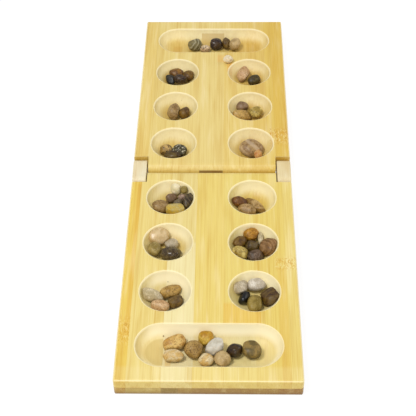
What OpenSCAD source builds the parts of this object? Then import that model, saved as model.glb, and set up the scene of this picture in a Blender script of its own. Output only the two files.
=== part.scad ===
// Folding mancala board: two wooden halves, each with six round pits and a long store,
// joined by two double-pivot link blocks, with natural pebbles lying in the pits.
// +X is to the right, +Y runs along the board to the far half, +Z is up.
// The origin is on the joint line, in the middle of the width, on the underside.

/* [Board] */
// Width of the board
board_w = 130; // [126:1:140]
// Length of one half, from the joint line to its outer end
half_l = 209; // [206:1:220]
// Thickness of each half
board_t = 16; // [15.5:0.1:17]
// Rounding of the outer edges, above and below
edge_r = 1.6; // [1:0.1:2.2]
// Rounding of the outer corners, seen from above
corner_r = 2.5; // [1.5:0.1:5]

/* [Pits] */
// Diameter of a round pit at its outer rim
pit_d = 40.2; // [39.5:0.1:41]
// Depth of the pits and stores
pit_depth = 11; // [10.8:0.1:11.5]
// Distance between neighbouring pits along a row
pit_pitch = 48.5; // [46:0.1:49]
// Distance of the first pit's centre from the joint line
pit_first = 32.4; // [32:0.1:34]
// Distance of each row of pits from the board's middle line
pit_x = 32.7; // [31.5:0.1:33]
// Radius of the cove between wall and floor
cove_r = 14; // [13.5:0.1:14.5]
// Rounding of the rim
rim_r = 1.6; // [1.2:0.1:2]

/* [Stores] */
// Width of a store
store_w = 39; // [38:0.1:41]
// Length of a store across the board
store_l = 106; // [104:1:108]
// Land between the last pit and the store
store_gap = 9.1; // [8:0.1:10]

/* [Hinge] */
// Distance of each pin from the joint line
pin_y = 7.7; // [7.7:0.1:8]
// Depth of the pins' axis below the top face
pin_drop = 7.5; // [7.3:0.1:7.5]
// Diameter of a hinge pin
pin_d = 3; // [2.5:0.1:3.5]
// How far a pin is driven into the half
pin_grip = 12; // [8:0.5:14]
// Width of a link block
link_w = 11.3; // [10:0.1:11.5]
// Radius of a link block's round ends
link_r = 7.1; // [6.5:0.1:7.1]
// Side gap between a link block and the half
link_side_gap = 1; // [0.5:0.1:1.2]
// Gap between a link block's round end and the notch
link_end_gap = 0.5; // [0.4:0.1:0.8]

/* [Hidden] */

HALVES = ["near_half", "far_half"];
HINGE = ["link_left", "link_right", "near_pin_left", "near_pin_right", "far_pin_left", "far_pin_right"];
NEAR_STONES = ["pebbles_near_left_1", "pebbles_near_right_1", "pebbles_near_left_2",
    "pebbles_near_right_2", "pebbles_near_left_3", "pebbles_near_right_3", "pebbles_near_store"];
FAR_STONES = ["pebbles_far_left_1", "pebbles_far_right_1", "pebbles_far_left_2",
    "pebbles_far_right_2", "pebbles_far_left_3", "pebbles_far_right_3", "pebbles_far_store",
    "pebble_on_top"];

$fn = 64;
EPS = 0.01;

// Hinge: the ends of the halves are rounded about the pins, a little short of the joint line
end_gap = pin_y - pin_drop;
pin_z = board_t - pin_drop;
pin_r = pin_d / 2;
pin_press = 0.005;
pin_running = 0.05;
pin_recess = 0.5;
pin_chamfer = 0.3;
blind_spare = 0.4;
notch_w = link_w + link_side_gap;
notch_l = pin_y + link_r + link_end_gap;
notch_x = board_w / 2 - notch_w;
lower_end_r = 1;
link_edge = 0.8;
bite = 2;

// Pit section: a flat floor, a cove and a rounded rim that meet without a step
pit_r = pit_d / 2;
wall_angle = acos(1 - pit_depth / (cove_r + rim_r));
wall_z = -rim_r * (1 - cos(wall_angle));
store_y = pit_first + 2 * pit_pitch + pit_r + store_gap + store_w / 2;
store_straight = store_l - store_w;

// Pebbles
stone_gap = 0.25;
STONE_SIDES = 12;
STONE_RINGS = 6;

// Pebbles in each place, the lowest first. Each row holds the centre's x and y from the middle of
// the pit, the three half sizes, the turn about Z, the lean (its far side raised) and the roll
// (its left side raised).
STONES_NEAR_LEFT_1 = [
    [-7.6, -5.8, 6.9, 5.2, 4.3, 15, 0, 18],
    [4, -10.4, 6.9, 4.7, 4.1, 10, -24, 0],
    [13.8, -1, 6.2, 3.5, 3.0, 68, 0, -38],
    [0.1, 6, 4.3, 3.8, 3.4, 0, 6, 0],
    [6.1, -0.3, 3.9, 3.2, 3.4, 20, 0, 0],
    [8.8, 5.6, 3.2, 2.7, 2.6, 0, 0, -14],
    [3.6, 13, 3.9, 4.2, 2.9, 10, 35, 0],
    [10.5, 11, 2.8, 2.8, 2.2, 0, 28, -28]];
STONES_NEAR_RIGHT_1 = [
    [-9.6, 0, 6.0, 4.0, 3.7, -5, 0, 22],
    [-4.2, -9.4, 6.8, 4.7, 4.2, -25, -18, 4],
    [2.8, -2.6, 8.8, 3.5, 3.4, -48, 0, 0]];
STONES_NEAR_LEFT_2 = [
    [-7.3, 9.6, 8.1, 6.0, 3.4, 37, 29, 22],
    [-10.3, -3.2, 5.6, 4.9, 4.0, 80, 0, 24],
    [2.2, -7.2, 7.5, 5.0, 4.3, 0, -10, 0],
    [2.4, 3.6, 5.0, 4.2, 3.6, 10, 4, 0]];
STONES_NEAR_RIGHT_2 = [
    [-1.4, 12, 5.6, 4.6, 3.5, 15, 32, 6],
    [5.8, 8.4, 5.0, 2.2, 2.8, 88, 28, 0],
    [-10.2, 4.2, 5.4, 3.9, 3.9, 45, 6, 22],
    [-0.8, 1, 4.5, 4.4, 4.1, 0, 0, 0],
    [11.1, -1.2, 6.7, 6.6, 3.7, 0, 4, -31],
    [-9.6, -6.6, 5.7, 4.2, 3.7, -20, -8, 20],
    [1.6, -9.4, 5.9, 4.6, 4.0, 10, -16, 0]];
STONES_NEAR_LEFT_3 = [
    [-9.5, -0.5, 7.2, 4.6, 4.0, -15, 0, 22],
    [3.5, 4, 7.0, 4.6, 4.0, 25, 6, 0],
    [-3.5, -10, 6.4, 4.1, 3.9, -10, -18, 4],
    [7.5, -5.5, 5.3, 4.2, 3.8, 20, -8, -8]];
STONES_NEAR_RIGHT_3 = [
    [-9.9, 7, 5.2, 4.0, 3.7, 64, 14, 20],
    [1.7, 10.3, 6.5, 4.4, 3.9, 5, 26, 0],
    [0.2, -7, 7.0, 5.4, 4.2, 80, -6, 0],
    [11.1, -1.8, 6.5, 6.5, 3.8, 0, 4, -31],
    [-7.4, -1.2, 5.0, 3.3, 3.6, 60, 0, 12]];
STONES_NEAR_STORE = [
    [-24.2, 5.5, 7.8, 5.0, 4.4, 24, 10, 0],
    [-25.2, -4.5, 7.0, 4.2, 3.7, 0, -4, 0],
    [-10.5, 0.2, 6.0, 6.0, 4.7, 0, 12, 0],
    [-2, 9.4, 5.2, 4.8, 4.1, 0, 24, 0],
    [4.4, 1.8, 6.8, 4.9, 4.6, 42, 4, 0],
    [-2, -8.6, 5.0, 4.2, 4.0, 0, -16, 0],
    [9.2, -8, 5.7, 5.0, 4.3, 60, -12, 0],
    [18, -0.8, 5.3, 4.4, 4.6, 38, 2, 0],
    [30, 0.2, 6.2, 6.0, 4.7, 0, 14, 0]];
STONES_FAR_LEFT_1 = [
    [-6.5, -2, 5.4, 4.6, 4.0, 15, 0, 10],
    [5, -2.5, 6.0, 4.9, 4.3, -10, 0, -4],
    [0, -11, 6.2, 3.9, 3.8, -5, -24, 0]];
STONES_FAR_RIGHT_1 = [
    [0.5, 0, 9.2, 7.2, 4.2, -15, 18, 0],
    [6, -9.5, 4.4, 3.0, 2.7, 75, -10, 0]];
STONES_FAR_LEFT_2 = [
    [-2, -1, 7.2, 4.6, 4.4, 80, 24, 0],
    [7.6, -2, 5.4, 4.4, 4.2, 66, 0, -14]];
STONES_FAR_RIGHT_2 = [
    [-6.6, 6.4, 5.0, 4.5, 3.9, 0, 18, 10],
    [-6.8, -5, 8.0, 4.7, 4.1, 4, -8, 16],
    [5.5, -2, 5.6, 5.0, 4.2, 25, 0, -4]];
STONES_FAR_LEFT_3 = [
    [-1.5, 6, 6.5, 4.9, 4.1, 5, 12, 0],
    [9.5, 2, 5.0, 4.7, 3.9, 0, 0, -18],
    [-6.5, -2.5, 5.6, 3.6, 3.6, 120, 0, 8],
    [2.5, -5.5, 5.8, 4.2, 3.6, 0, -4, 0]];
STONES_FAR_RIGHT_3 = [
    [-5.2, 4.6, 6.4, 4.8, 4.2, 78, 24, 8],
    [4.5, -3, 5.7, 4.3, 3.9, 30, 0, 0]];
STONES_FAR_STORE = [
    [-18, 1.5, 5.8, 5.6, 4.5, 0, 20, 0],
    [-8, -3, 4.4, 3.6, 2.9, 0, 0, 0],
    [2, 2.5, 5.8, 5.4, 4.4, 0, 20, 0],
    [11.6, 3.2, 5.0, 3.6, 4.2, 90, 12, 0],
    [20, 1, 5.6, 4.8, 4.3, 80, 16, 0]];
STONE_ON_TOP = [13.5, 144, 3.8, 3.8, 3.2, 0, 0, 0];

// ---- Board ----

// A rectangle with rounded corners, its lower left corner at the origin
module round_rect(size, r) {
    for (x = [r, size.x - r], y = [r, size.y - r])
        translate([x, y]) circle(r);
    translate([r, 0]) square([size.x - 2 * r, size.y]);
    translate([0, r]) square([size.x, size.y - 2 * r]);
}

// Side view of a half, y to the right and z up: its joint end is round about the pin
module side_profile() {
    translate([pin_y, pin_z]) circle(pin_drop);
    translate([pin_y, edge_r]) square([half_l - pin_y - edge_r, board_t - edge_r]);
    translate([end_gap, lower_end_r]) square([pin_y, pin_z - lower_end_r]);
    translate([end_gap + lower_end_r, lower_end_r]) circle(lower_end_r);
    translate([end_gap + lower_end_r, 0]) square([half_l - end_gap - lower_end_r - edge_r, edge_r]);
    for (z = [edge_r, board_t - edge_r])
        translate([half_l - edge_r, z]) circle(edge_r);
    translate([half_l - edge_r - EPS, edge_r]) square([edge_r + EPS, board_t - 2 * edge_r]);
}

// A half before its pits are cut, lying on +Y
module half_blank() {
    intersection() {
        rotate([90, 0, 90])
            translate([0, 0, -board_w / 2]) linear_extrude(board_w) side_profile();
        translate([-board_w / 2, half_l + bite, 0])
            rotate([90, 0, 0]) linear_extrude(half_l + 2 * bite) round_rect([board_w, board_t], edge_r);
        translate([-board_w / 2, -corner_r - bite, 0])
            linear_extrude(board_t) round_rect([board_w, half_l + corner_r + bite], corner_r);
    }
}

// Section of a pit of outer radius r, from its middle outwards, with the top face at z = 0
module pit_section(r) {
    floor_r = r - (cove_r + rim_r) * sin(wall_angle);
    wall_r = r - rim_r * sin(wall_angle);
    translate([0, -pit_depth]) square([floor_r, pit_depth + wall_z]);
    intersection() {
        translate([floor_r, cove_r - pit_depth]) circle(cove_r);
        translate([floor_r - EPS, -pit_depth]) square([wall_r - floor_r + EPS, pit_depth + wall_z]);
    }
    difference() {
        translate([0, wall_z - EPS]) square([r, bite - wall_z + EPS]);
        translate([r, -rim_r]) circle(rim_r);
    }
}

module pit_cut() {
    rotate_extrude() pit_section(pit_r);
}

// A store is the pit's section swept along a straight line, with a round end at each side
module store_cut() {
    for (side = [-1, 1])
        translate([side * store_straight / 2, 0, 0]) rotate_extrude() pit_section(store_w / 2);
    rotate([90, 0, 90]) translate([0, 0, -store_straight / 2]) linear_extrude(store_straight)
        union() {
            pit_section(store_w / 2);
            mirror([1, 0]) pit_section(store_w / 2);
        }
}

// Notch for a link block, and the blind bore that grips its pin
module hinge_cut() {
    translate([notch_x, -bite, -bite])
        cube([notch_w + bite, notch_l + bite, board_t + 2 * bite]);
    translate([notch_x - pin_grip - blind_spare, pin_y, pin_z])
        rotate([0, 90, 0]) cylinder(r = pin_r - pin_press, h = pin_grip + blind_spare + bite);
}

module board_half() {
    difference() {
        half_blank();
        for (x = [-pit_x, pit_x], row = [0 : 2])
            translate([x, pit_first + row * pit_pitch, board_t]) pit_cut();
        translate([0, store_y, board_t]) store_cut();
        hinge_cut();
        mirror([1, 0, 0]) hinge_cut();
    }
}

module near_half() {
    color("burlywood") mirror([0, 1, 0]) board_half();
}

module far_half() {
    color("burlywood") board_half();
}

// ---- Hinge ----

// Side view of a link block, smaller all round by inset
module link_profile(inset) {
    for (y = [-pin_y, pin_y])
        translate([y, pin_z]) circle(link_r - inset);
    translate([-pin_y, pin_z - link_r + inset]) square([2 * pin_y, 2 * (link_r - inset)]);
}

// The right link block: its long edges and its ends are rounded by rods and by half tori
module link_block() {
    inner_x = board_w / 2 - link_w;
    difference() {
        rotate([90, 0, 90]) union() {
            translate([0, 0, inner_x + link_edge])
                linear_extrude(link_w - 2 * link_edge) link_profile(0);
            translate([0, 0, inner_x]) linear_extrude(link_w) link_profile(link_edge);
            for (x = [inner_x + link_edge, board_w / 2 - link_edge], y = [-pin_y, pin_y])
                translate([y, pin_z, x]) rotate_extrude() link_edge_section();
            for (x = [inner_x + link_edge, board_w / 2 - link_edge], side = [-1, 1])
                translate([-pin_y, pin_z + side * (link_r - link_edge), x]) rotate([0, 90, 0])
                    cylinder(r = link_edge, h = 2 * pin_y);
        }
        for (y = [-pin_y, pin_y])
            translate([inner_x - bite, y, pin_z]) rotate([0, 90, 0])
                cylinder(r = pin_r + pin_running, h = link_w + 2 * bite);
    }
}

// Half section of a link end's round edge
module link_edge_section() {
    intersection() {
        translate([link_r - link_edge, 0]) circle(link_edge);
        translate([link_r - link_edge, -link_edge]) square([link_edge, 2 * link_edge]);
    }
}

module link_left() {
    color("wheat") mirror([1, 0, 0]) link_block();
}

module link_right() {
    color("wheat") link_block();
}

// A pin at the right side, driven through the link block into the far half
module hinge_pin() {
    length = link_w + link_side_gap + pin_grip - pin_recess;
    translate([board_w / 2 - pin_recess - length, pin_y, pin_z]) rotate([0, 90, 0]) {
        cylinder(r1 = pin_r - pin_chamfer, r2 = pin_r, h = pin_chamfer);
        translate([0, 0, pin_chamfer]) cylinder(r = pin_r, h = length - 2 * pin_chamfer);
        translate([0, 0, length - pin_chamfer])
            cylinder(r1 = pin_r, r2 = pin_r - pin_chamfer, h = pin_chamfer);
    }
}

module near_pin_left() {
    color("silver") mirror([1, 0, 0]) mirror([0, 1, 0]) hinge_pin();
}

module near_pin_right() {
    color("silver") mirror([0, 1, 0]) hinge_pin();
}

module far_pin_left() {
    color("silver") mirror([1, 0, 0]) hinge_pin();
}

module far_pin_right() {
    color("silver") hinge_pin();
}

// ---- Pebbles ----

// Height of the hollow's surface above the underside, at distance d from its middle or middle line
function hollow_z(d, r) =
    let (floor_r = r - (cove_r + rim_r) * sin(wall_angle),
         wall_r = r - rim_r * sin(wall_angle),
         floor_z = board_t - pit_depth)
    d <= floor_r ? floor_z :
    d <= wall_r ? floor_z + cove_r - sqrt(cove_r * cove_r - (d - floor_r) * (d - floor_r)) :
    d < r ? board_t - rim_r + sqrt(max(0, rim_r * rim_r - (r - d) * (r - d))) :
    board_t;

// Surface under the point x, y of a pit (straight = 0) or a store
function bed_z(x, y, r, straight) =
    hollow_z(norm([max(0, abs(x) - straight / 2), y]), r);

// Axes of a pebble: its turn, then its lean, then its roll
function stone_axes(s) =
    let (c1 = cos(s[5]), s1 = sin(s[5]), c2 = cos(s[6]), s2 = sin(s[6]), c3 = cos(s[7]), s3 = sin(s[7]),
         turn = [[c1, -s1, 0], [s1, c1, 0], [0, 0, 1]],
         lean = [[1, 0, 0], [0, c2, -s2], [0, s2, c2]],
         roll = [[c3, 0, s3], [0, 1, 0], [-s3, 0, c3]])
    roll * lean * turn;

// Corners of a pebble about its centre: the two poles, and rings between them
function stone_points(s) =
    let (m = stone_axes(s))
    concat(
        [m * [0, 0, -s[4]]],
        [for (ring = [1 : STONE_RINGS - 1], k = [0 : STONE_SIDES - 1])
            let (up = -90 + 180 * ring / STONE_RINGS, around = 360 * k / STONE_SIDES)
            m * [s[2] * cos(up) * cos(around), s[3] * cos(up) * sin(around), s[4] * sin(up)]],
        [m * [0, 0, s[4]]]);

// Top of the settled pebble t at x, y, or the underside of the board where it isn't under there
function stone_top(t, x, y) =
    let (s = t[0],
         m = stone_axes(s),
         grow = stone_gap,
         scale_in = [[1 / (s[2] + grow), 0, 0], [0, 1 / (s[3] + grow), 0], [0, 0, 1 / (s[4] + grow)]],
         inward = scale_in * [[m[0][0], m[1][0], m[2][0]], [m[0][1], m[1][1], m[2][1]],
                              [m[0][2], m[1][2], m[2][2]]],
         q = inward * [x - s[0], y - s[1], 0],
         k = inward * [0, 0, 1],
         inside = (q * k) * (q * k) - (k * k) * (q * q - 1))
    inside < 0 ? 0 : t[1] + (sqrt(inside) - q * k) / (k * k);

// Height at which a pebble comes to rest on the hollow and on the pebbles already there
function rest_z(s, placed, r, straight) =
    max([for (p = stone_points(s))
        max(concat([bed_z(s[0] + p.x, s[1] + p.y, r, straight)],
                   [for (t = placed) stone_top(t, s[0] + p.x, s[1] + p.y)])) - p.z]) + stone_gap;

// Settles the pebbles one by one, the lowest first
function settled(stones, r, straight, i = 0, placed = []) =
    i == len(stones) ? placed :
    settled(stones, r, straight, i + 1,
            concat(placed, [[stones[i], rest_z(stones[i], placed, r, straight)]]));

function stone_faces() =
    let (n = STONE_SIDES, last = n * (STONE_RINGS - 1) + 1)
    concat(
        [for (k = [0 : n - 1]) [0, 1 + k, 1 + (k + 1) % n]],
        [for (ring = [0 : STONE_RINGS - 3], k = [0 : n - 1])
            let (a = 1 + ring * n, b = a + n) [a + k, b + k, a + (k + 1) % n]],
        [for (ring = [0 : STONE_RINGS - 3], k = [0 : n - 1])
            let (a = 1 + ring * n, b = a + n) [b + k, b + (k + 1) % n, a + (k + 1) % n]],
        [for (k = [0 : n - 1]) let (a = last - n) [last, a + (k + 1) % n, a + k]]);

module stones_in(stones, x, y, flip, r, straight) {
    for (t = settled(stones, r, straight))
        translate([x + t[0][0], y * flip + t[0][1], t[1]])
            polyhedron(points = stone_points(t[0]), faces = stone_faces(), convexity = 2);
}

// Pebbles in a round pit: side is -1 for left or 1 for right, half is -1 for near or 1 for far
module pit_stones(stones, side, half, row) {
    stones_in(stones, side * pit_x, pit_first + (row - 1) * pit_pitch, half, pit_r, 0);
}

module store_stones(stones, half) {
    stones_in(stones, 0, store_y, half, store_w / 2, store_straight);
}

module pebbles_near_left_1() { color("rosybrown") pit_stones(STONES_NEAR_LEFT_1, -1, -1, 1); }
module pebbles_near_right_1() { color("tan") pit_stones(STONES_NEAR_RIGHT_1, 1, -1, 1); }
module pebbles_near_left_2() { color("slategray") pit_stones(STONES_NEAR_LEFT_2, -1, -1, 2); }
module pebbles_near_right_2() { color("sienna") pit_stones(STONES_NEAR_RIGHT_2, 1, -1, 2); }
module pebbles_near_left_3() { color("tan") pit_stones(STONES_NEAR_LEFT_3, -1, -1, 3); }
module pebbles_near_right_3() { color("darkkhaki") pit_stones(STONES_NEAR_RIGHT_3, 1, -1, 3); }
module pebbles_near_store() { color("peru") store_stones(STONES_NEAR_STORE, -1); }
module pebbles_far_left_1() { color("darkslategray") pit_stones(STONES_FAR_LEFT_1, -1, 1, 1); }
module pebbles_far_right_1() { color("rosybrown") pit_stones(STONES_FAR_RIGHT_1, 1, 1, 1); }
module pebbles_far_left_2() { color("rosybrown") pit_stones(STONES_FAR_LEFT_2, -1, 1, 2); }
module pebbles_far_right_2() { color("tan") pit_stones(STONES_FAR_RIGHT_2, 1, 1, 2); }
module pebbles_far_left_3() { color("slategray") pit_stones(STONES_FAR_LEFT_3, -1, 1, 3); }
module pebbles_far_right_3() { color("tan") pit_stones(STONES_FAR_RIGHT_3, 1, 1, 3); }
module pebbles_far_store() { color("dimgray") store_stones(STONES_FAR_STORE, 1); }

// The pebble that lies on the board itself, between the far store and the right row
module pebble_on_top() {
    s = STONE_ON_TOP;
    color("whitesmoke") translate([s[0], s[1], board_t + s[4] + stone_gap])
        polyhedron(points = stone_points(s), faces = stone_faces(), convexity = 2);
}

near_half();
far_half();
link_left();
link_right();
near_pin_left();
near_pin_right();
far_pin_left();
far_pin_right();
pebbles_near_left_1();
pebbles_near_right_1();
pebbles_near_left_2();
pebbles_near_right_2();
pebbles_near_left_3();
pebbles_near_right_3();
pebbles_near_store();
pebbles_far_left_1();
pebbles_far_right_1();
pebbles_far_left_2();
pebbles_far_right_2();
pebbles_far_left_3();
pebbles_far_right_3();
pebbles_far_store();
pebble_on_top();
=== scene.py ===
"""Looks for the folding mancala board: bamboo halves, link blocks, steel pins and natural pebbles.

Lengths are in metres, except in the material patterns, which are laid out in millimetres of the
board's own frame: +X to the right, +Y to the far half, +Z up, the joint line at y = 0.
"""

import math
from collections import namedtuple

import bmesh
import bpy
import numpy as np
from mathutils import Matrix, Vector
from mathutils.bvhtree import BVHTree


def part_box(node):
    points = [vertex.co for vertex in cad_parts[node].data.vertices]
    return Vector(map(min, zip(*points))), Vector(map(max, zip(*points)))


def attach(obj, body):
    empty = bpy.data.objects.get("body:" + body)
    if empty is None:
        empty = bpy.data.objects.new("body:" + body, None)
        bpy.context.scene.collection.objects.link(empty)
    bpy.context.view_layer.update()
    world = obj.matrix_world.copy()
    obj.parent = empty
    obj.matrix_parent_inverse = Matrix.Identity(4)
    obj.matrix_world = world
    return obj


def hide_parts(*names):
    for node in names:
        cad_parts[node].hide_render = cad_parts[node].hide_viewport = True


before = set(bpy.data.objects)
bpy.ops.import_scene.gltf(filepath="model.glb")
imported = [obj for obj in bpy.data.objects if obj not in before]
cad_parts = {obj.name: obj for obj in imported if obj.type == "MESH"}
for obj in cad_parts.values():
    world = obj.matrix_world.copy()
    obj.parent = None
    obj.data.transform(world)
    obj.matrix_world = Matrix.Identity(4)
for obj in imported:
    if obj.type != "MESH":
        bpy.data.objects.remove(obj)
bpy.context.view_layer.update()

MM = 0.001
BOARD_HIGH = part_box("far_half")[1]
# The height of the board and half its width, in mm
BOARD_TOP = BOARD_HIGH.z / MM
BOARD_SIDE = BOARD_HIGH.x / MM


# ---- Camera, floor and light ----

CAMERA_PLACE = (0.01073, -0.59006, 0.57239)
CAMERA_DOWN = math.radians(45.58)
CAMERA_HEADING = math.radians(1.387)
CAMERA_ROLL = math.radians(-0.837)
CAMERA_LENS = 85.2
FLOOR_SIZE = 8.0
FLOOR_DROP = 0.3 * MM
FLOOR_GREY = 0.14
FLOOR_GLOW = 0.9
WORLD_LIGHT = 0.585
# Name, place, size and strength: the share of a white surface's brightness that it gives
SOFTBOXES = [
    ("key", (-0.6, -0.45, 1.6), 0.4, 0.48),
    ("front_fill", (0.4, -1.6, 0.8), 1.2, 0.14),
    ("right_fill", (1.3, 0.2, 0.7), 0.9, 0.14),
]
# How bright all of this light makes a white surface that faces up
TOP_LIGHT = 1.12


def add_camera():
    """The camera that was fitted to the photo."""
    data = bpy.data.cameras.new("camera")
    data.lens = CAMERA_LENS
    data.sensor_width = 36.0
    data.clip_start = 0.01
    camera = bpy.data.objects.new("camera", data)
    camera.matrix_world = (
        Matrix.Translation(CAMERA_PLACE)
        @ Matrix.Rotation(CAMERA_HEADING, 4, "Z")
        @ Matrix.Rotation(math.pi / 2 - CAMERA_DOWN, 4, "X")
        @ Matrix.Rotation(CAMERA_ROLL, 4, "Z")
    )
    bpy.context.scene.collection.objects.link(camera)
    bpy.context.scene.camera = camera


def srgb(red, green, blue):
    """A colour given as 0 to 255 display values, as the linear values that a shader takes."""
    linear = []
    for value in (red, green, blue):
        share = value / 255
        linear.append(share / 12.92 if share <= 0.04045 else ((share + 0.055) / 1.055) ** 2.4)
    return (*linear, 1.0)


def lit(red, green, blue):
    """The shader colour of a surface that shows as this 0 to 255 colour where it faces up."""
    return (*[value / TOP_LIGHT for value in srgb(red, green, blue)[:3]], 1.0)


def add_floor():
    """A white floor that glows a little, so that the board's shadow on it stays faint."""
    data = bpy.data.meshes.new("floor")
    half = FLOOR_SIZE / 2
    corners = [(-half, -half, 0), (half, -half, 0), (half, half, 0), (-half, half, 0)]
    data.from_pydata(corners, [], [(0, 1, 2, 3)])
    floor = bpy.data.objects.new("floor", data)
    floor.location.z = -FLOOR_DROP
    bpy.context.scene.collection.objects.link(floor)
    material = bpy.data.materials.new("white_floor")
    material.use_nodes = True
    shader = material.node_tree.nodes["Principled BSDF"]
    shader.inputs["Base Color"].default_value = (FLOOR_GREY, FLOOR_GREY, FLOOR_GREY, 1)
    shader.inputs["Roughness"].default_value = 0.9
    shader.inputs["Specular IOR Level"].default_value = 0.0
    shader.inputs["Emission Color"].default_value = (1, 1, 1, 1)
    shader.inputs["Emission Strength"].default_value = FLOOR_GLOW
    data.materials.append(material)


def add_softbox(name, place, size, strength):
    """A round softbox aimed at the board's middle. Its energy makes up for its distance."""
    away = math.sqrt(sum(step * step for step in place))
    data = bpy.data.lights.new(name, "AREA")
    data.shape = "DISK"
    data.size = size
    data.energy = strength * (math.pi * away) ** 2
    light = bpy.data.objects.new(name, data)
    light.location = place
    light.rotation_euler = (-Vector(place)).to_track_quat("-Z", "Y").to_euler()
    bpy.context.scene.collection.objects.link(light)


def add_light():
    """An even white studio with its softboxes."""
    world = bpy.data.worlds.new("studio")
    bpy.context.scene.world = world
    world.use_nodes = True
    background = world.node_tree.nodes["Background"]
    background.inputs["Color"].default_value = (1.0, 1.0, 1.0, 1)
    background.inputs["Strength"].default_value = WORLD_LIGHT
    for softbox in SOFTBOXES:
        add_softbox(*softbox)


add_camera()
add_floor()
add_light()
bpy.context.scene.view_settings.view_transform = "Standard"


# ---- Node graphs ----


class Graph:
    """One material: a Principled shader and the nodes that feed it. A value is a number or a socket,
    and place is the place in the board's frame, in mm."""

    def __init__(self, name):
        self.material = bpy.data.materials.new(name)
        self.material.use_nodes = True
        self.tree = self.material.node_tree
        self.shader = self.tree.nodes["Principled BSDF"]
        self.place = self.shade(self.node("ShaderNodeTexCoord").outputs["Object"], 1 / MM)

    def node(self, kind, **settings):
        node = self.tree.nodes.new(kind)
        for name, value in settings.items():
            setattr(node, name, value)
        return node

    def feed(self, socket, value):
        if isinstance(value, bpy.types.NodeSocket):
            self.tree.links.new(value, socket)
        else:
            socket.default_value = value

    def set(self, **values):
        """Sets shader inputs, named in lower case with underscores."""
        for name, value in values.items():
            socket = next(s for s in self.shader.inputs if s.name.lower().replace(" ", "_") == name)
            self.feed(socket, value)

    def math(self, operation, *values, clamp=False):
        node = self.node("ShaderNodeMath", operation=operation, use_clamp=clamp)
        for socket, value in zip(node.inputs, values):
            self.feed(socket, value)
        return node.outputs[0]

    def product(self, *values):
        total = values[0]
        for value in values[1:]:
            total = self.math("MULTIPLY", total, value)
        return total

    def plus(self, start, value, factor):
        """start plus factor times value."""
        return self.math("ADD", start, self.math("MULTIPLY", value, factor))

    def opposite(self, share):
        """What is left of 1 beside share."""
        return self.math("SUBTRACT", 1.0, share)

    def away(self, value, middle):
        """How far value is from middle, to either side."""
        return self.math("ABSOLUTE", self.math("SUBTRACT", value, middle))

    def rise(self, value, low, high):
        """0 below low and 1 above high, with a smooth step between them; low may be above high."""
        node = self.node("ShaderNodeMapRange", interpolation_type="SMOOTHSTEP")
        self.feed(node.inputs["Value"], value)
        self.feed(node.inputs["From Min"], min(low, high))
        self.feed(node.inputs["From Max"], max(low, high))
        self.feed(node.inputs["To Min"], 0.0 if low < high else 1.0)
        self.feed(node.inputs["To Max"], 1.0 if low < high else 0.0)
        return node.outputs["Result"]

    def between(self, value, low, high, soft):
        """1 between low and high, fading out over soft beyond each."""
        return self.product(self.rise(value, low - soft, low), self.rise(value, high + soft, high))

    def axes(self, vector=None):
        node = self.node("ShaderNodeSeparateXYZ")
        self.feed(node.inputs[0], vector if vector is not None else self.place)
        return node.outputs[0], node.outputs[1], node.outputs[2]

    def vector(self, x, y, z):
        node = self.node("ShaderNodeCombineXYZ")
        for socket, value in zip(node.inputs, (x, y, z)):
            self.feed(socket, value)
        return node.outputs[0]

    def stretched(self, scale, vector=None):
        """vector, or else the place, with each of its axes scaled on its own."""
        node = self.node("ShaderNodeVectorMath", operation="MULTIPLY")
        self.feed(node.inputs[0], vector if vector is not None else self.place)
        self.feed(node.inputs[1], scale)
        return node.outputs[0]

    def noise(self, vector, scale=1.0, detail=2.0, roughness=0.5, distortion=0.0):
        node = self.node("ShaderNodeTexNoise")
        self.feed(node.inputs["Vector"], vector)
        self.feed(node.inputs["Scale"], scale)
        self.feed(node.inputs["Detail"], detail)
        self.feed(node.inputs["Roughness"], roughness)
        self.feed(node.inputs["Distortion"], distortion)
        return node.outputs[0]

    def cells(self, vector, scale=1.0):
        """The distance to the middle of a cell, in a pattern of cells."""
        node = self.node("ShaderNodeTexVoronoi")
        self.feed(node.inputs["Vector"], vector)
        self.feed(node.inputs["Scale"], scale)
        return node.outputs["Distance"]

    def steps(self, value, stops):
        """A colour for each stretch of value; stops are (start from 0 to 1, colour), from low to high."""
        node = self.node("ShaderNodeValToRGB")
        elements = node.color_ramp.elements
        node.color_ramp.interpolation = "CONSTANT"
        while len(elements) < len(stops):
            elements.new(1.0)
        for element, (position, colour) in zip(elements, stops):
            element.position = position
            element.color = colour
        self.feed(node.inputs[0], value)
        return node.outputs["Color"]

    def mix(self, share, first, second, blend="MIX"):
        """first, with share of it replaced by second or blended with it."""
        node = self.node("ShaderNodeMix", data_type="RGBA", blend_type=blend)
        self.feed(node.inputs["Factor"], share)
        self.feed(node.inputs[6], first)
        self.feed(node.inputs[7], second)
        return node.outputs[2]

    def shade(self, colour, factor):
        """colour times factor, which is a number or a socket."""
        node = self.node("ShaderNodeVectorMath", operation="SCALE")
        self.feed(node.inputs[0], colour)
        self.feed(node.inputs["Scale"], factor)
        return node.outputs[0]

    def bump(self, height, strength, distance):
        node = self.node("ShaderNodeBump")
        self.feed(node.inputs["Strength"], strength)
        self.feed(node.inputs["Distance"], distance)
        self.feed(node.inputs["Height"], height)
        self.feed(self.shader.inputs["Normal"], node.outputs[0])


# ---- Bamboo ----

PLY_Z = 8.0
# The part of a half that its pits and store lie in, to each side and away from the joint line
PIT_AREA_X = 53.1
PIT_AREA_Y = (12.1, 198.0)
# How far a line that looks sharp fades out, to each side
SHARP = 0.05

# How each pattern is scaled across the board, along it and in height
FINE_FIBRES = (1.9, 0.02, 0.5)
LONG_FIBRES = (1.3, 0.006, 0.3)
FIBRE_CLOUDS = (0.16, 0.014, 0.16)
PORES = (6.0, 0.16, 6.0)
NODE_FLECKS = (0.75, 0.3, 0.5)
END_DOTS = (1.5, 0.05, 1.9)
# How far the fibres of strips numbered 0 and 1 are moved apart
STRIPS_APART = 4000.0

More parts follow.
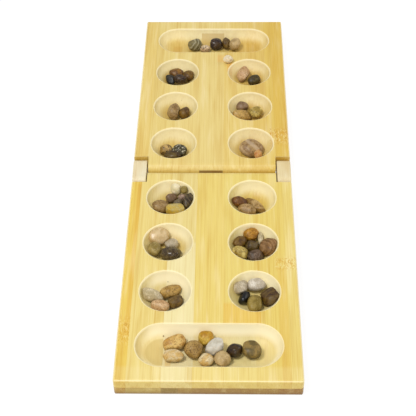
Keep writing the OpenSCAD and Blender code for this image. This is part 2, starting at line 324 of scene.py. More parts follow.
CUT_PALE = lit(264, 251, 206)
FIBRE_AND_PIT_SHADE_TINT = srgb(229, 204, 138)
END_OIL_AND_SHADE_TINT = srgb(244, 237, 208)
SKIN_AND_SHADE_BROWN = lit(132, 96, 48)
GLUE_TINT = srgb(222, 196, 150)
NODE_ORANGE = lit(222, 164, 50)

# Strips from left to right: the left edge in mm and the colour
NEAR_TOP = [
    (-65, lit(239, 207, 96)),
    (-56.8, lit(239, 216, 131)),
    (-32.4, lit(237, 216, 138)),
    (-11.5, lit(239, 214, 119)),
    (10.2, lit(238, 215, 120)),
    (33.0, lit(236, 210, 110)),
    (56.4, lit(238, 215, 124)),
]
NEAR_LOW = [
    (-65, lit(200, 162, 76)),
    (-57.0, lit(206, 182, 106)),
    (-32.8, lit(162, 136, 60)),
    (-21.0, lit(184, 154, 80)),
    (-11.0, lit(172, 136, 62)),
    (22.0, lit(176, 141, 62)),
    (48.0, lit(170, 128, 54)),
]
FAR_TOP = [
    (-65, lit(237, 209, 121)),
    (-53.4, lit(236, 211, 127)),
    (-32.6, lit(238, 214, 134)),
    (-10.4, lit(238, 214, 134)),
    (9.6, lit(236, 208, 120)),
    (31.4, lit(231, 198, 95)),
    (53.6, lit(229, 192, 84)),
]
FAR_LOW = [
    (-65, lit(208, 168, 86)),
    (-42.0, lit(226, 196, 118)),
    (-33.0, lit(232, 204, 128)),
    (-11.5, lit(206, 168, 92)),
    (9.8, lit(228, 198, 120)),
    (28.0, lit(220, 186, 104)),
    (50.0, lit(206, 164, 84)),
]
# Where a strip's tone differs along its length: x from and to, y from and to, colour, share
NEAR_PATCHES = [
    ((-32.4, -11.5), (-215, -84), lit(245, 231, 172), 0.9),
    ((10.2, 37.0), (-162, -143), lit(238, 200, 92), 0.85),
    ((-30.6, -27.0), (-194, -182), lit(232, 190, 82), 0.8),
    ((-59.6, -56.8), (-168, -20), lit(233, 190, 80), 0.7),
    ((-62.0, -57.6), (-186, -160), lit(234, 194, 78), 0.45),
    ((50.4, 56.4), (-212, -110), lit(234, 197, 92), 0.5),
    ((-65, 65), (-215, -199), lit(246, 226, 156), 0.35),
]
FAR_PATCHES = [
    ((-38.4, -30.4), (163, 181), lit(226, 184, 84), 0.5),
    ((4.0, 13.0), (146, 153), lit(240, 190, 100), 0.5),
    ((12.6, 17.0), (132, 141), lit(240, 186, 96), 0.5),
    ((31.4, 47.0), (-5, 215), lit(232, 200, 112), 0.6),
]
# Nodes of the cane, where the grain is flecked: x from and to, y, half its length, and how strongly
NEAR_NODES = [((49.0, 66), -103, 9, 1.1), ((-66, -56.8), -166, 16, 1.0)]
FAR_NODES = [((49.5, 66), 41, 14, 1.6)]
# Dark specks: x, y and radius
NEAR_SPECKS = [(-33.0, -118.6, 0.75), (-32.6, -165.0, 0.8), (-31.5, -115.0, 0.45)]
FAR_SPECKS = [(-28, 96, 0.3), (14, 133, 0.3)]
# Browner spots that run through the sanded surfaces: x, y and z from and to, colour and share
NEAR_STAINS = [((-60, -32.5), (-200, -155), (4.0, 6.5), lit(214, 184, 100), 0.55)]
FAR_STAINS = [
    ((-10.4, 9.0), (-3, 3), (4.0, 12.4), SKIN_AND_SHADE_BROWN, 0.85),
    ((-11.6, 9.8), (180, 200), (4.5, 11.5), lit(214, 178, 102), 0.65),
]

# How pale sanding has left a half's hollows: the walls near the joint and near the end, the floors near
# the end, where their painted shade fades, and how much less of this its left walls have, as painted
# shade
Sanded = namedtuple("Sanded", "joint end floor left")
NEAR_SANDING_AND_SHADE = Sanded(joint=0.5, end=0.8, floor=0.4, left=0.65)
FAR_SANDING_AND_SHADE = Sanded(joint=0.28, end=0.3, floor=0.0, left=0.0)
# Up to how far from the joint line the joint's value holds, and from where on the end's does
SANDED_Y = (50, 160)
# How far below the top a wall is sanded in full
SANDED_DEPTH = 1.2
# The heights between which a hollow's walls take on their own tone, and between which its floor takes on
# painted shade
WALL_Z = (5.2, 10.5)
PIT_FLOOR_SHADE_Z = (9.0, 5.3)
# The heights between which painted shade darkens a half's sides towards the lower arris
LOWER_ARRIS_SHADE_Z = (5.5, 0.4)

# A half of the board; side is 1 or -1, its side of the joint line
Half = namedtuple("Half", "side top low patches nodes specks stains sanded")
NEAR = Half(-1, NEAR_TOP, NEAR_LOW, NEAR_PATCHES, NEAR_NODES, NEAR_SPECKS, NEAR_STAINS, NEAR_SANDING_AND_SHADE)
FAR = Half(1, FAR_TOP, FAR_LOW, FAR_PATCHES, FAR_NODES, FAR_SPECKS, FAR_STAINS, FAR_SANDING_AND_SHADE)


class HalfGraph(Graph):
    """The bamboo of one half, with the masks that its layers share."""

    def __init__(self, name, half):
        super().__init__(name)
        self.half = half
        self.x, self.y, self.z = self.axes()
        self.normal = self.axes(self.node("ShaderNodeTexCoord").outputs["Normal"])
        # 1 all over the area of the pits and the store, but not on the underside. The hollows show the
        # top ply's colours all the way down.
        pit_y = sorted(half.side * y for y in PIT_AREA_Y)
        self.inside = self.product(
            self.between(self.x, -PIT_AREA_X, PIT_AREA_X, SHARP),
            self.between(self.y, *pit_y, SHARP),
            self.rise(self.normal[2], -0.5, -0.2),
        )
        self.outside = self.opposite(self.inside)
        above = self.rise(self.z, PLY_Z - SHARP, PLY_Z + SHARP)
        self.in_top = self.math("MAXIMUM", above, self.inside)


def strip_stops(strips):
    """Stops for strips across the board's width: their colours, and shades of grey that number them."""
    colours = []
    numbers = []
    for k, (edge, colour) in enumerate(strips):
        position = (edge + BOARD_SIDE) / (2 * BOARD_SIDE)
        # Strips side by side get very different numbers
        grey = (k * 0.37 + 0.11) % 1
        colours.append((position, colour))
        numbers.append((position, (grey, grey, grey, 1)))
    return colours, numbers


def lay_strips(g):
    """The colour of the strips in both plies, and their numbers."""
    across = g.math("DIVIDE", g.math("ADD", g.x, BOARD_SIDE), 2 * BOARD_SIDE)
    top_colours, top_numbers = strip_stops(g.half.top)
    low_colours, low_numbers = strip_stops(g.half.low)
    colour = g.mix(g.in_top, g.steps(across, low_colours), g.steps(across, top_colours))
    number = g.mix(g.in_top, g.steps(across, low_numbers), g.steps(across, top_numbers))
    for (x0, x1), (y0, y1), tone, share in g.half.patches:
        patch = g.product(g.between(g.x, x0, x1, 0.4), g.between(g.y, y0, y1, 4.0), g.in_top, share)
        colour = g.mix(patch, colour, tone)
    return colour, number


def grow_fibres(g, colour, number):
    """Fibres along Y, different in each strip. Gives the colour, the fine fibres and the pores."""
    apart = g.math("MULTIPLY", number, STRIPS_APART)
    place = g.vector(g.x, g.math("ADD", g.y, apart), g.z)
    fine = g.noise(g.stretched(FINE_FIBRES, place), detail=3.0, roughness=0.6)
    lines = g.noise(g.stretched(LONG_FIBRES, place), detail=1.0)
    cloud = g.noise(g.stretched(FIBRE_CLOUDS, place))
    pores = g.noise(g.stretched(PORES, place), detail=1.0)
    dark = g.product(g.rise(fine, 0.54, 0.76), 0.5)
    dark = g.plus(dark, g.rise(lines, 0.5, 0.72), 0.3)
    dark = g.plus(dark, g.rise(cloud, 0.48, 0.72), 0.35)
    dark = g.math("ADD", dark, g.product(g.rise(pores, 0.64, 0.74), 0.2), clamp=True)
    colour = g.mix(dark, colour, FIBRE_AND_PIT_SHADE_TINT, "MULTIPLY")
    pale = g.plus(g.product(g.rise(fine, 0.46, 0.28), 0.25), g.rise(cloud, 0.46, 0.3), 0.2)
    return g.mix(pale, colour, CUT_PALE), fine, pores


def add_cane_nodes(g, colour):
    """Short flecks where the fibres part."""
    flecks = g.noise(g.stretched(NODE_FLECKS), roughness=0.6, distortion=1.2)
    for (x0, x1), middle, length, strength in g.half.nodes:
        along = g.rise(g.away(g.y, middle), length, length * 0.3)
        zone = g.product(g.between(g.x, x0, x1, 1.0), along, g.in_top)
        colour = g.mix(g.product(zone, g.rise(flecks, 0.5, 0.58), 0.55 * strength), colour, NODE_ORANGE)
        colour = g.mix(g.product(zone, g.rise(flecks, 0.46, 0.36), 0.24 * strength), colour, CUT_PALE)
        colour = g.mix(g.product(zone, g.rise(flecks, 0.62, 0.68), 0.3 * strength), colour, SKIN_AND_SHADE_BROWN)
    return colour


def sand(g, colour):
    """Sanded cane is paler than the oiled top: the pits' walls most, above all where they cut across the
    fibres, their floors least, and every top arris. The left walls keep less of this paleness and the
    floors get darker towards the bottom, both as painted shade. Gives the colour and how sanded each wall
    is."""
    sanded = g.half.sanded
    end_grain = g.rise(g.math("ABSOLUTE", g.normal[1]), 0.1, 0.6)
    outward = g.rise(g.math("ABSOLUTE", g.y), *SANDED_Y)
    share = g.plus(sanded.joint, outward, sanded.end - sanded.joint)
    share = g.plus(share, end_grain, 0.2)
    # Painted shade: the left walls, which face right, away from the key light, keep less of the sanded
    # paleness
    share = g.product(share, g.opposite(g.product(g.rise(g.normal[0], 0.3, 0.8), sanded.left)))
    climb = g.math("MAXIMUM", g.rise(g.z, *WALL_Z), g.math("MULTIPLY", outward, sanded.floor))
    wall = g.product(g.inside, g.rise(g.z, BOARD_TOP - SHARP, BOARD_TOP - SANDED_DEPTH), climb, share)
    rim = g.rise(g.z, BOARD_TOP - 1.8, BOARD_TOP - 1.1)
    rim = g.product(g.inside, rim, g.rise(g.normal[2], 0.995, 0.9), 0.7)
    edge = g.product(g.rise(g.z, BOARD_TOP - 1.0, BOARD_TOP - 0.4), g.rise(g.normal[2], 0.97, 0.8), 0.6)
    colour = g.mix(g.math("MAXIMUM", wall, g.math("MAXIMUM", rim, edge)), colour, CUT_PALE)
    # Painted shade: the floors of the hollows get darker and yellower towards the bottom, fading where
    # the floors are sanded near the end
    floor = g.math("SUBTRACT", 0.4, g.math("MULTIPLY", outward, sanded.floor))
    floor = g.product(g.inside, g.rise(g.z, *PIT_FLOOR_SHADE_Z), floor)
    return g.mix(floor, colour, FIBRE_AND_PIT_SHADE_TINT, "MULTIPLY"), wall


def add_shade_and_stains(g, colour):
    """Painted shade darkens the sides towards the lower arris, and there are browner spots."""
    # Painted shade along the lower arris, where the board meets the floor
    lower_arris_shade = g.product(g.rise(g.z, *LOWER_ARRIS_SHADE_Z), g.between(g.normal[2], -0.8, 0.1, 0.15), 0.75)
    colour = g.mix(lower_arris_shade, colour, SKIN_AND_SHADE_BROWN)
    for (x0, x1), (y0, y1), (z0, z1), tone, share in g.half.stains:
        stain = g.product(g.between(g.x, x0, x1, 0.1), g.between(g.y, y0, y1, 1.0))
        stain = g.product(stain, g.between(g.z, z0, z1, 0.8), share)
        colour = g.mix(stain, colour, tone)
    return colour


def glue_lines(g, strips):
    """1 on the thin glue lines between neighbouring strips."""
    lines = 0.0
    for edge, _ in strips[1:]:
        lines = g.math("MAXIMUM", lines, g.rise(g.away(g.x, edge), 0.3, 0.05))
    return lines


def add_glue(g, colour):
    """Thin lines between strips, and the line between the plies."""
    top = g.product(glue_lines(g, g.half.top), g.in_top, g.outside, 0.4)
    low = g.product(glue_lines(g, g.half.low), g.opposite(g.in_top))
    ply_line = g.product(g.rise(g.away(g.z, PLY_Z), 0.3, 0.08), g.outside)
    glue = g.product(g.math("MAXIMUM", top, low), 0.5)
    glue = g.math("ADD", glue, g.product(ply_line, 0.9), clamp=True)
    return g.mix(glue, colour, GLUE_TINT, "MULTIPLY")


def oil_and_shade_ends(g, colour):
    """The ends soak up more oil and carry painted shade, which both darken them, and show the cane's
    vascular bundles as small brown dots.
    """
    end_face = g.product(g.rise(g.math("ABSOLUTE", g.normal[1]), 0.6, 0.95), g.outside)
    # The end faces are darker, partly as end grain that soaks up oil and partly as painted shade
    colour = g.mix(end_face, colour, END_OIL_AND_SHADE_TINT, "MULTIPLY")
    dots = g.rise(g.cells(g.stretched(END_DOTS)), 0.4, 0.2)
    return g.mix(g.product(end_face, dots, 0.1), colour, SKIN_AND_SHADE_BROWN)


def add_specks(g, colour):
    """Dark specks, which run through the whole height of a half."""
    for speck_x, speck_y, radius in g.half.specks:
        across = g.math("POWER", g.math("SUBTRACT", g.x, speck_x), 2.0)
        along = g.math("POWER", g.math("SUBTRACT", g.y, speck_y), 2.0)
        away = g.math("SQRT", g.math("ADD", across, along))
        colour = g.mix(g.product(g.rise(away, radius, radius * 0.4), 0.8), colour, SKIN_AND_SHADE_BROWN)
    return colour


def bamboo(name, half):
    """Laminated bamboo: strips side by side in two plies."""
    g = HalfGraph(name, half)
    colour, number = lay_strips(g)
    colour, fine, pores = grow_fibres(g, colour, number)
    colour = add_cane_nodes(g, colour)
    colour, wall = sand(g, colour)
    colour = add_shade_and_stains(g, colour)
    colour = add_glue(g, colour)
    colour = oil_and_shade_ends(g, colour)
    colour = add_specks(g, colour)
    roughness = g.plus(g.plus(0.38, fine, 0.16), wall, 0.2)
    g.set(base_color=colour, roughness=roughness, specular_ior_level=0.4)
    g.set(coat_weight=0.1, coat_roughness=0.28)
    g.bump(g.plus(fine, pores, 0.5), 0.18, 0.08 * MM)
    return g.material


# ---- Link blocks and pins ----

WOOD_GRAIN = (1.5, 0.03, 0.8)
WOOD_CLOUDS = (0.14, 0.05, 0.14)
GRAIN_DARK = srgb(204, 168, 108)
GRAIN_PALE = srgb(250, 242, 220)
STEEL_DARK = srgb(168, 168, 166)
STEEL_PALE = srgb(204, 203, 200)
# The pins' drawing lines run along X
STEEL_SCRATCHES = (0.4, 9.0, 9.0)


def hinge_wood(name, base, deep, shift):
    """Pale fine-grained wood with its grain along Y. shift moves the pattern along the grain."""
    g = Graph(name)
    x, y, z = g.axes()
    place = g.vector(x, g.math("ADD", y, shift), z)
    grain = g.noise(g.stretched(WOOD_GRAIN, place), detail=3.0, roughness=0.62)
    cloud = g.noise(g.stretched(WOOD_CLOUDS, place), detail=1.0)
    colour = g.mix(g.rise(cloud, 0.3, 0.7), base, deep)
    colour = g.mix(g.product(g.rise(grain, 0.5, 0.72), 0.35), colour, GRAIN_DARK)
    colour = g.mix(g.product(g.rise(grain, 0.46, 0.3), 0.3), colour, GRAIN_PALE)
    g.set(base_color=colour, roughness=g.plus(0.4, grain, 0.2))
    g.set(coat_weight=0.1, coat_roughness=0.3)
    g.bump(grain, 0.16, 0.08 * MM)
    return g.material


def steel():
    """Drawn steel wire with fine scratches."""
    g = Graph("pin_steel")
    scratches = g.noise(g.stretched(STEEL_SCRATCHES), detail=3.0, roughness=0.7)
    colour = g.mix(g.rise(scratches, 0.3, 0.7), STEEL_DARK, STEEL_PALE)
    g.set(base_color=colour, metallic=1.0, roughness=g.plus(0.24, scratches, 0.22))
    g.bump(scratches, 0.2, 0.03 * MM)
    return g.material


# ---- Stone ----

# What a stone's shine adds to its colour, in red, green and blue
SHINE = (0.018, 0.018, 0.027)
DARKEST = 0.004
# Painted shade: how bright a pebble's colours are low down and high up in a pit, and the heights of both
PAINTED_SHADE_AT_FOOT = 0.48
PAINTED_SHADE_AT_TOP = 1.03
PAINTED_SHADE_FOOT_HEIGHT = 5.5
PAINTED_SHADE_TOP_HEIGHT = 11.5
VEIN_COLOUR = srgb(176, 160, 140)
# How far red, green and blue light go into a pebble, against each other
MILK = (1.0, 0.85, 0.7)
HONEY = (1.0, 0.55, 0.2)

# Two colours that mingle, the colour of the spots and their share, and how fine the grain is
PLAIN_STONES = {
    "mauve_brown": (lit(172, 144, 102), lit(142, 112, 74), lit(92, 64, 42), 0.5, 1.3),
    "purple_brown": (lit(148, 121, 96), lit(115, 90, 70), lit(150, 124, 106), 0.35, 1.2),
    "yellow_block": (lit(190, 172, 114), lit(202, 168, 70), lit(152, 126, 76), 0.2, 1.2),
    "grey": (lit(116, 103, 86), lit(86, 73, 58), lit(160, 148, 124), 0.4, 1.3),
    "plum": (lit(188, 160, 142), lit(154, 128, 110), lit(88, 64, 56), 0.4, 1.3),
    "tan": (lit(196, 160, 98), lit(164, 128, 72), lit(96, 70, 40), 0.45, 1.0),
    "olive_grey": (lit(172, 150, 96), lit(138, 118, 70), lit(184, 166, 124), 0.4, 1.0),
    "violet": (lit(106, 85, 73), lit(72, 57, 49), lit(150, 130, 116), 0.35, 1.2),
    "drab": (lit(98, 80, 55), lit(70, 56, 36), lit(132, 116, 86), 0.35, 1.3),
    "moss": (lit(94, 82, 44), lit(68, 58, 28), lit(122, 108, 68), 0.35, 1.1),
    "rose_grey": (lit(182, 149, 104), lit(148, 118, 76), lit(92, 64, 44), 0.5, 1.4),
    "chalk": (lit(206, 193, 170), lit(178, 162, 134), lit(152, 134, 108), 0.4, 1.2),
    "ash": (lit(216, 206, 189), lit(190, 176, 155), lit(172, 156, 134), 0.4, 1.2),
    "bone": (lit(212, 196, 162), lit(184, 166, 128), lit(146, 128, 98), 0.35, 1.3),
    "rose_tan": (lit(214, 182, 142), lit(190, 150, 108), lit(150, 104, 68), 0.45, 0.9),
    "umber": (lit(120, 96, 60), lit(88, 68, 40), lit(146, 120, 82), 0.35, 1.1),
    "red_brown": (lit(140, 100, 54), lit(94, 64, 32), lit(172, 128, 80), 0.45, 1.4),
    "ochre": (lit(208, 174, 84), lit(182, 134, 48), lit(140, 96, 46), 0.3, 1.1),
    "chestnut": (lit(126, 86, 42), lit(86, 56, 25), lit(158, 114, 70), 0.4, 1.3),
    "sand_grey": (lit(200, 172, 124), lit(166, 138, 94), lit(202, 178, 142), 0.45, 1.4),
    "long_tan": (lit(200, 168, 114), lit(146, 112, 66), lit(110, 80, 46), 0.4, 1.0),
    "orange": (lit(176, 124, 42), lit(134, 92, 34), lit(216, 168, 88), 0.35, 0.9),
    "yellow_olive": (lit(222, 200, 126), lit(164, 138, 74), lit(90, 70, 36), 0.4, 0.8),
    "olive": (lit(156, 134, 76), lit(126, 106, 56), lit(170, 152, 104), 0.4, 1.5),
    "gold": (lit(220, 186, 118), lit(190, 144, 80), lit(138, 92, 52), 0.45, 1.1),
    "cream": (lit(226, 208, 168), lit(208, 172, 110), lit(170, 128, 78), 0.25, 1.0),
    "granite": (lit(188, 154, 98), lit(152, 120, 70), lit(92, 66, 36), 0.75, 1.7),
    "capped": (lit(104, 90, 62), lit(152, 126, 78), lit(98, 86, 66), 0.4, 1.2),
    "salt": (lit(82, 74, 56), lit(52, 48, 40), lit(206, 198, 172), 0.8, 0.85),
    "speckled": (lit(206, 170, 110), lit(150, 120, 72), lit(46, 36, 24), 0.85, 0.8),
    "dark_olive": (lit(98, 80, 44), lit(68, 54, 30), lit(140, 118, 78), 0.35, 1.2),
    "walnut": (lit(124, 94, 50), lit(90, 66, 32), lit(150, 118, 66), 0.35, 1.3),
    "blue_grey": (lit(60, 54, 42), lit(40, 35, 24), lit(94, 88, 76), 0.35, 1.2),
    "freckled": (lit(234, 209, 172), lit(208, 174, 136), lit(66, 48, 38), 0.8, 0.9),
}
# The same, and the colour of the bands, their count per mm and their direction
BANDED_STONES = {
    "slate": (lit(90, 77, 56), lit(62, 52, 34), lit(118, 102, 76), 0.4, 1.0,
              (lit(124, 108, 82), 0.35, (0.8, 0.5, 0.3))),
    "ringed": (lit(146, 110, 76), lit(112, 80, 52), lit(88, 60, 38), 0.5, 1.3,
               (lit(176, 138, 100), 0.5, (0.7, 0.3, -0.6))),
    "banded": (lit(94, 74, 42), lit(70, 52, 28), lit(118, 94, 58), 0.35, 1.0,
               (lit(120, 98, 64), 0.28, (0.3, -0.75, 0.6))),
    "striped": (lit(130, 118, 86), lit(98, 88, 62), lit(160, 150, 120), 0.4, 1.0,
                (lit(192, 184, 156), 0.3, (0.7, 0.2, -0.7))),
    "dun": (lit(180, 149, 105), lit(144, 113, 80), lit(206, 180, 140), 0.35, 0.8,
            (lit(214, 190, 160), 0.12, (0.6, 0.5, 0.4))),
}
# The same as for plain stones, with no bands, and how rough the surface is
POLISHED_STONES = {
    "black": (lit(18, 13, 0), lit(28, 22, 4), None, 0.0, 1.0, None, 0.24),
    "dark": (lit(98, 83, 60), lit(66, 54, 38), lit(136, 120, 98), 0.4, 1.3, None, 0.24),
    "dark_plum": (lit(76, 60, 46), lit(52, 40, 30), lit(120, 102, 92), 0.35, 1.0, None, 0.26),
    "jet": (lit(76, 60, 28), lit(52, 40, 18), lit(98, 82, 54), 0.35, 1.0, None, 0.22),
}
# Two colours that mingle, and how light goes into the pebble
QUARTZES = {
    "white": (lit(220, 214, 196), lit(196, 186, 164), MILK),
    "jade_white": (lit(242, 228, 188), lit(218, 202, 150), MILK),
    "milky": (lit(242, 228, 194), lit(228, 206, 164), MILK),
    "blush": (lit(226, 198, 148), lit(202, 170, 112), MILK),
    "amber": (lit(214, 158, 84), lit(180, 114, 50), HONEY),
}


def dull(colour):
    """A stone's colour without what its shine adds to it."""
    return (*[max(value - shine, DARKEST) for value, shine in zip(colour, SHINE)], 1.0)


def add_minerals(g, colour, tone, share, grain):
    """Mineral grains of another colour, about 1 / grain mm across, here and there."""
    cells = g.cells(g.place, scale=0.85 * grain)
    patch = g.noise(g.place, scale=0.55 * grain)
    mineral = g.product(g.rise(cells, 0.52, 0.34), g.rise(patch, 0.44, 0.56), min(1.3 * share, 1.0))
    return g.mix(mineral, colour, dull(tone))


def add_bands(g, colour, clouds, bands):
    """Lines of sediment, which the clouds make wavy."""
    tone, count, direction = bands
    node = g.node("ShaderNodeVectorMath", operation="DOT_PRODUCT")
    g.feed(node.inputs[0], g.place)
    g.feed(node.inputs[1], direction)
    along = g.plus(node.outputs["Value"], clouds, 3.2)
    wave = g.math("SINE", g.math("MULTIPLY", along, 2 * math.pi * count))
    return g.mix(g.product(g.rise(wave, 0.1, 0.9), 0.5), colour, dull(tone))


def stone(name, base, second, spots, spot_share, grain, bands=None, rough=0.42):
    """A water-worn pebble, whose base and second colour mingle in clouds."""
    g = Graph(name)
    clouds = g.noise(g.place, scale=0.16, detail=4.0, roughness=0.6, distortion=0.6)
    colour = g.mix(g.rise(clouds, 0.38, 0.6), dull(base), dull(second))
    fine = g.noise(g.place, scale=0.9 * grain, detail=5.0, roughness=0.72)
    colour = g.shade(colour, g.plus(0.25, fine, 1.5))
    if spots is not None:
        colour = add_minerals(g, colour, spots, spot_share, grain)
    if bands is not None:
        colour = add_bands(g, colour, clouds, bands)
    # Painted shade: a pebble's colour gets darker low down in its pit, towards its underside
    height = g.axes()[2]
    colour = g.shade(colour, g.plus(PAINTED_SHADE_AT_FOOT, g.rise(height, PAINTED_SHADE_FOOT_HEIGHT, PAINTED_SHADE_TOP_HEIGHT), PAINTED_SHADE_AT_TOP - PAINTED_SHADE_AT_FOOT))
    g.set(base_color=colour, specular_ior_level=0.4, roughness=g.plus(rough - 0.1, fine, 0.2))
    pits = g.noise(g.place, scale=2.6, detail=3.0)
    g.bump(g.math("ADD", fine, pits), 0.22, 0.12 * MM)
    return g.material


def quartz(name, base, second, glow):
    """A milky pebble that lets a little light in."""
    g = Graph(name)
    clouds = g.noise(g.place, scale=0.2, detail=3.0, distortion=0.8)
    veins = g.noise(g.place, scale=0.5, detail=5.0, roughness=0.6, distortion=1.4)
    colour = g.mix(g.rise(clouds, 0.4, 0.66), base, second)
    colour = g.mix(g.product(g.between(veins, 0.49, 0.51, 0.03), 0.25), colour, VEIN_COLOUR)
    g.set(base_color=colour, subsurface_weight=0.35, subsurface_scale=2 * MM, subsurface_radius=glow)
    g.set(roughness=g.plus(0.24, clouds, 0.24))
    g.bump(veins, 0.12, 0.1 * MM)
    return g.material


def stone_looks():
    """The material of each look."""
    looks = {}
    for stones in (PLAIN_STONES, BANDED_STONES, POLISHED_STONES):
        for name, values in stones.items():
            looks[name] = stone("stone_" + name, *values)
    for name, values in QUARTZES.items():
        looks[name] = quartz("stone_" + name, *values)
    return looks


# ---- Pebbles ----

# Pebbles of each node from left to right
PEBBLES = {
    "pebbles_near_left_1": [
        "mauve_brown", "purple_brown", "jade_white", "yellow_block", "grey", "plum", "olive", "slate",
    ],
    "pebbles_near_right_1": ["chestnut", "rose_grey", "long_tan"],
    "pebbles_near_left_2": ["olive_grey", "blush", "dark", "chalk"],
    "pebbles_near_right_2": ["walnut", "yellow_olive", "orange", "drab", "violet", "bone", "ringed"],
    "pebbles_near_left_3": ["bone", "rose_tan", "tan", "umber"],
    "pebbles_near_right_3": ["chalk", "black", "olive", "ash", "banded"],
    "pebbles_near_store": [
        "cream", "gold", "granite", "cream", "ochre", "white", "sand_grey", "jet", "capped",
    ],
    "pebbles_far_left_1": ["speckled", "dark_olive", "salt"],
    "pebbles_far_right_1": ["dun", "amber"],
    "pebbles_far_left_2": ["mauve_brown", "walnut"],
    "pebbles_far_right_2": ["tan", "purple_brown", "yellow_olive"],
    "pebbles_far_left_3": ["blue_grey", "red_brown", "dark_plum", "walnut"],
    "pebbles_far_right_3": ["rose_tan", "moss"],
    "pebbles_far_store": ["striped", "freckled", "dark_plum", "umber", "sand_grey"],
    "pebble_on_top": ["milky"],
}
SPHERE_CELLS = 18
# How square pebbles are, where 2 is round, and the looks that belong to blockier ones
SQUARENESS = (2.1, 3.0)
BLOCKS = {"yellow_block": 3.6, "banded": 2.9, "gold": 3.0, "ochre": 3.0, "capped": 2.8, "ash": 2.7}
# Worn flats: how many, how far from the middle of a pebble of size 1, and how soft their edges are
FLATS = 6
FLAT_AWAY = (0.86, 1.02)
FLAT_SOFTNESS = 0.14
# Swellings: how high on a pebble of size 1, and how fast they follow each other around it
SWELLINGS = ((0.02, 2.1), (0.012, 4.3), (0.006, 9.0))
# How much larger than its CAD solid a pebble is made, and how softly it is then pressed into its place
PEBBLE_GROWTH = 1.08
TOUCH_SOFTNESS = 0.5 * MM
# How far a pebble may sink into the wood it lies on
SINK = 0.05 * MM


def round_cube(cells):
    """Directions and quads of a sphere made from a cube with cells by cells quads on each face."""
    mesh = bmesh.new()
    bmesh.ops.create_cube(mesh, size=2.0)
    bmesh.ops.subdivide_edges(mesh, edges=mesh.edges[:], cuts=cells - 1, use_grid_fill=True)
    mesh.verts.index_update()
    points = np.array([v.co[:] for v in mesh.verts])
    quads = [[v.index for v in face.verts] for face in mesh.faces]
    mesh.free()
    # Evens out the cells before the points go onto the sphere
    points = np.tan(points * math.pi / 4)
    return points / np.linalg.norm(points, axis=1)[:, None], quads


DIRECTIONS, QUADS = round_cube(SPHERE_CELLS)


def islands(node):
    """The separate solids of a CAD node from left to right, each as an array of its corners."""
    mesh = bmesh.new()
    mesh.from_mesh(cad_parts[node].data)
    bmesh.ops.remove_doubles(mesh, verts=mesh.verts[:], dist=1e-6)
    left = set(mesh.verts)
    found = []
    while left:
        waiting = [left.pop()]
        members = []
        while waiting:
            vertex = waiting.pop()
            members.append(vertex.co[:])
            for edge in vertex.link_edges:
                other = edge.other_vert(vertex)
                if other in left:
                    left.discard(other)
                    waiting.append(other)
        found.append(np.array(sorted(members)))
    mesh.free()
    middles = [(corners.min(0) + corners.max(0)) / 2 / MM for corners in found]
    order = sorted(range(len(found)), key=lambda k: (round(middles[k][0], 1), middles[k][1]))
    return [found[k] for k in order]


def soft_min(first, second, width):
    """The smaller of the two, rounded off where they cross."""
    blend = np.clip(width - np.abs(first - second), 0, None) / width
    return np.minimum(first, second) - blend * blend * width / 4


def pebble_points(corners, look, rng):
    """A worn pebble in the place of a CAD pebble: a blocky ellipsoid with seeded flats and swellings."""
    middle = (corners.min(0) + corners.max(0)) / 2
    spread = corners - middle
    _, axes = np.linalg.eigh(spread.T @ spread)
    sizes = np.abs(spread @ axes).max(0)
    stretch = (axes * sizes) @ axes.T
    turned, _ = np.linalg.qr(rng.normal(size=(3, 3)))
    power = rng.uniform(*SQUARENESS)
    if look in BLOCKS:
        turned = axes
        power = BLOCKS[look]
    reach = (np.abs(DIRECTIONS @ turned) ** power).sum(1) ** (-1 / power)
    for _ in range(FLATS):
        normal = rng.normal(size=3)
        normal /= np.linalg.norm(normal)
        distance = rng.uniform(*FLAT_AWAY)
        facing = np.clip(DIRECTIONS @ normal, 0.05, None)
        reach = soft_min(reach, distance / facing, FLAT_SOFTNESS)
    for strength, count in SWELLINGS:
        turns = rng.normal(size=(3, 3)) * count
        start = rng.uniform(0, 2 * math.pi, 3)
        reach += strength * np.sin(DIRECTIONS @ turns + start).mean(1)
    return middle + (DIRECTIONS * reach[:, None] * PEBBLE_GROWTH) @ stretch


def press(points, normal, level):
    """Flattens a pebble where it would pass the plane at level along normal."""
    past = points @ normal - level
    return points + np.outer(soft_min(past, np.zeros_like(past), TOUCH_SOFTNESS) - past, normal)


def fit_together(stones, solids):
    """Flattens the pebbles of a pit against each other, in the middle of the gap between their CAD
    solids, and at the height of the highest solid."""
    reaches = [corners @ DIRECTIONS.T for corners in solids]
    for k in range(len(solids)):
        for m in range(k):
            near_side = reaches[k].max(0)
            far_side = reaches[m].min(0)
            best = (far_side - near_side).argmax()
            level = (near_side[best] + far_side[best]) / 2
            stones[k] = press(stones[k], DIRECTIONS[best], level)
            stones[m] = press(stones[m], -DIRECTIONS[best], -level)
    up = np.array([0.0, 0.0, 1.0])
    highest = max(corners[:, 2].max() for corners in solids)
    for k, points in enumerate(stones):
        stones[k] = press(points, up, highest)


def rest_on(points, ground):
    """Lifts what would sink into the board up onto its surface."""
    above = (BOARD_TOP + 10) * MM
    for point in points:
        hit = ground.ray_cast((point[0], point[1], above), (0, 0, -1))[0]
        if hit is not None:
            point[2] = max(point[2], hit.z - SINK)


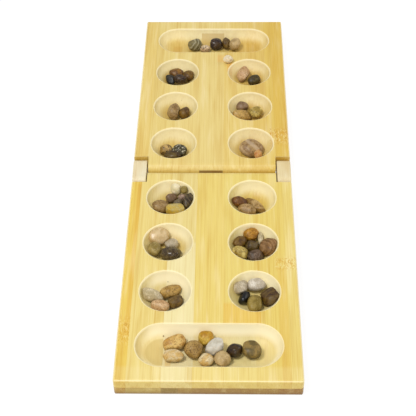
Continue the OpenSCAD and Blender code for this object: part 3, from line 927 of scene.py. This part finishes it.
def surface_of(node):
    """A CAD node's surface, for finding the height of the wood under a pebble."""
    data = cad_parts[node].data
    return BVHTree.FromPolygons([v.co for v in data.vertices], [p.vertices for p in data.polygons])


def add_pebbles(node, names, looks, seed, ground):
    """Worn pebbles with the named looks, in one piece, in place of those of a CAD node."""
    solids = islands(node)
    if len(solids) != len(names):
        raise ValueError(f"{node} has {len(solids)} pebbles, and {len(names)} are named")
    rng = np.random.default_rng(seed)
    stones = [pebble_points(corners, look, rng) for corners, look in zip(solids, names)]
    fit_together(stones, solids)
    faces = []
    slots = sorted(set(names))
    face_slots = []
    for k, (points, look) in enumerate(zip(stones, names)):
        rest_on(points, ground)
        faces += [[k * len(DIRECTIONS) + corner for corner in quad] for quad in QUADS]
        face_slots += [slots.index(look)] * len(QUADS)
    data = bpy.data.meshes.new(node + "_stones")
    data.from_pydata(np.concatenate(stones).tolist(), [], faces)
    for look in slots:
        data.materials.append(looks[look])
    data.polygons.foreach_set("material_index", face_slots)
    data.polygons.foreach_set("use_smooth", [True] * len(faces))
    data.update()
    piece = bpy.data.objects.new(node + "_stones", data)
    bpy.context.scene.collection.objects.link(piece)
    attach(piece, node)
    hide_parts(node)


# ---- The pieces ----


def paint(node, material):
    """Gives a CAD node its material."""
    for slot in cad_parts[node].material_slots:
        slot.link = "OBJECT"
        slot.material = material


paint("near_half", bamboo("bamboo_near", NEAR))
paint("far_half", bamboo("bamboo_far", FAR))
paint("link_left", hinge_wood("hinge_wood_left", lit(240, 228, 190), lit(236, 218, 174), 0.0))
paint("link_right", hinge_wood("hinge_wood_right", lit(236, 217, 167), lit(228, 204, 148), 500.0))
pin_steel = steel()
for pin in ("near_pin_left", "near_pin_right", "far_pin_left", "far_pin_right"):
    paint(pin, pin_steel)

looks = stone_looks()
near_ground = surface_of("near_half")
far_ground = surface_of("far_half")
for seed, (node, names) in enumerate(PEBBLES.items()):
    add_pebbles(node, names, looks, seed + 1, near_ground if "near" in node else far_ground)

bpy.context.view_layer.update()
